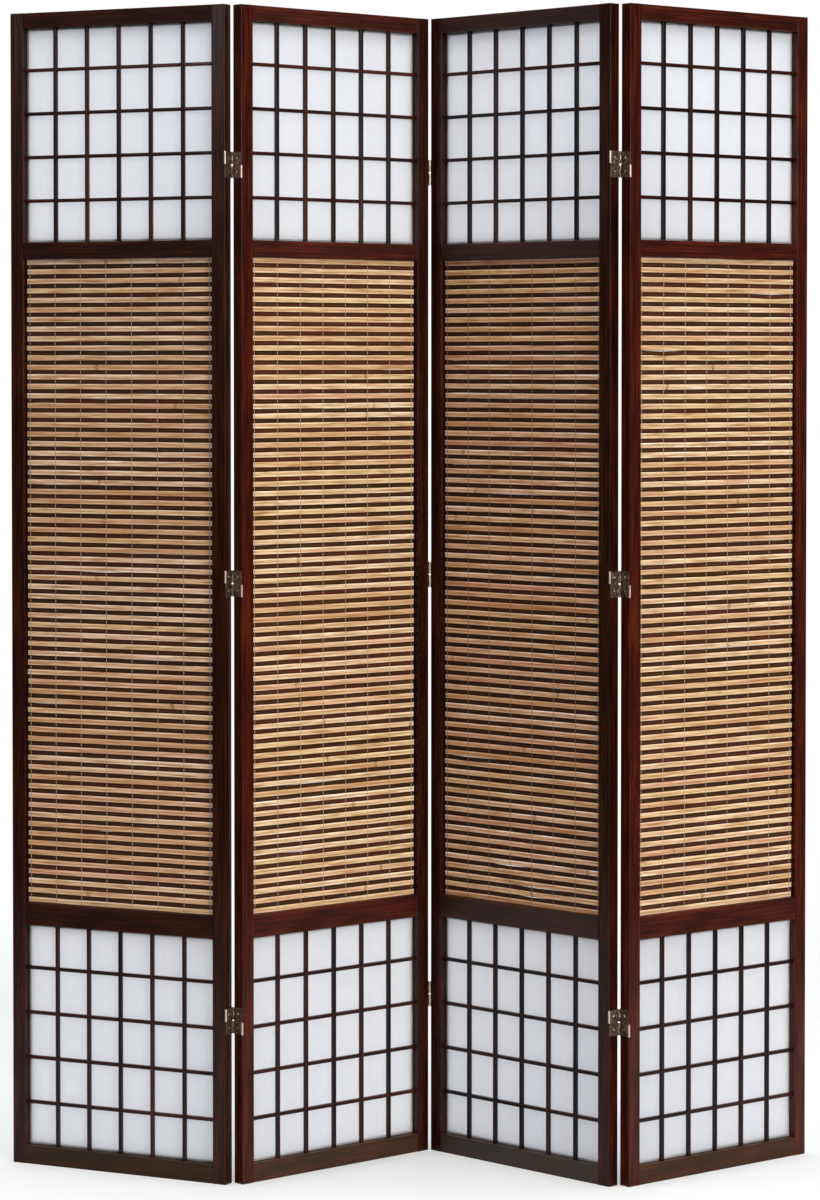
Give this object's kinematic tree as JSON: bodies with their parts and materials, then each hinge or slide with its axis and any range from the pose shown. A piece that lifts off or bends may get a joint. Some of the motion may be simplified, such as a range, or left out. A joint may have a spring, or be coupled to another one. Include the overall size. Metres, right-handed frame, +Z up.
{
  "type": "folding screen",
  "caption": "Folding room screen: timber-framed panels with papered lattice windows above and below a bamboo-slat mat, joined by double-action hinges.",
  "frame": {"origin": "on the floor, at the middle of the standing screen's bounding box", "axes": "+Z up; the front of the screen looks along -Y; panel 1 stands at the -X end"},
  "size_m": [1.2502, 0.2896, 1.8],
  "materials": {
    "stained_timber": "dark red-brown stain under satin lacquer",
    "screen_paper": "matte translucent white",
    "light_bamboo": "natural bamboo strip, satin",
    "dark_bamboo": "dark stained bamboo, satin",
    "binding_thread": "twisted cotton thread",
    "hinge_bronze": "antique bronze, worn at the edges",
    "screw_metal": "bright worn bronze"
  },
  "bodies": {
    "panel_1": {"panel_1_left_stile": "stained_timber", "panel_1_right_stile": "stained_timber", "panel_1_rails": "stained_timber", "panel_1_lattice_bars": "stained_timber", "panel_1_battens": "stained_timber", "panel_1_paper_sheets": "screen_paper", "panel_1_light_slats": "light_bamboo", "panel_1_dark_slats": "dark_bamboo", "panel_1_binding_threads": "binding_thread", "panel_1_hinge_screws": "screw_metal", "hinge_12_left_leaves": "hinge_bronze", "hinge_12_upper_straps": "hinge_bronze", "hinge_12_upper_pins": "screw_metal"},
    "panel_2": {"panel_2_left_stile": "stained_timber", "panel_2_right_stile": "stained_timber", "panel_2_rails": "stained_timber", "panel_2_lattice_bars": "stained_timber", "panel_2_battens": "stained_timber", "panel_2_paper_sheets": "screen_paper", "panel_2_light_slats": "light_bamboo", "panel_2_dark_slats": "dark_bamboo", "panel_2_binding_threads": "binding_thread", "panel_2_hinge_screws": "screw_metal", "hinge_12_right_leaves": "hinge_bronze", "hinge_12_lower_straps": "hinge_bronze", "hinge_12_lower_pins": "screw_metal", "hinge_23_left_leaves": "hinge_bronze", "hinge_23_lower_straps": "hinge_bronze", "hinge_23_lower_pins": "screw_metal"},
    "panel_3": {"panel_3_left_stile": "stained_timber", "panel_3_right_stile": "stained_timber", "panel_3_rails": "stained_timber", "panel_3_lattice_bars": "stained_timber", "panel_3_battens": "stained_timber", "panel_3_paper_sheets": "screen_paper", "panel_3_light_slats": "light_bamboo", "panel_3_dark_slats": "dark_bamboo", "panel_3_binding_threads": "binding_thread", "panel_3_hinge_screws": "screw_metal", "hinge_23_right_leaves": "hinge_bronze", "hinge_23_upper_straps": "hinge_bronze", "hinge_23_upper_pins": "screw_metal", "hinge_34_left_leaves": "hinge_bronze", "hinge_34_upper_straps": "hinge_bronze", "hinge_34_upper_pins": "screw_metal"},
    "panel_4": {"panel_4_left_stile": "stained_timber", "panel_4_right_stile": "stained_timber", "panel_4_rails": "stained_timber", "panel_4_lattice_bars": "stained_timber", "panel_4_battens": "stained_timber", "panel_4_paper_sheets": "screen_paper", "panel_4_light_slats": "light_bamboo", "panel_4_dark_slats": "dark_bamboo", "panel_4_binding_threads": "binding_thread", "panel_4_hinge_screws": "screw_metal", "hinge_34_right_leaves": "hinge_bronze", "hinge_34_lower_straps": "hinge_bronze", "hinge_34_lower_pins": "screw_metal"}
  },
  "joints": [
    {"name": "fold_1_2", "type": "hinge", "parent": "panel_2", "child": "panel_1", "pos_m": [-0.27217, -0.11025, 0.9], "axis": [0, 0, -1], "range_deg": [-67, 113]},
    {"name": "fold_2_3", "type": "hinge", "parent": "panel_2", "child": "panel_3", "pos_m": [0.0292, 0.12621, 0.9], "axis": [0, 0, -1], "range_deg": [-86, 93]},
    {"name": "fold_3_4", "type": "hinge", "parent": "panel_3", "child": "panel_4", "pos_m": [0.31779, -0.1257, 0.9], "axis": [0, 0, 1], "range_deg": [-84, 96]}
  ]
}
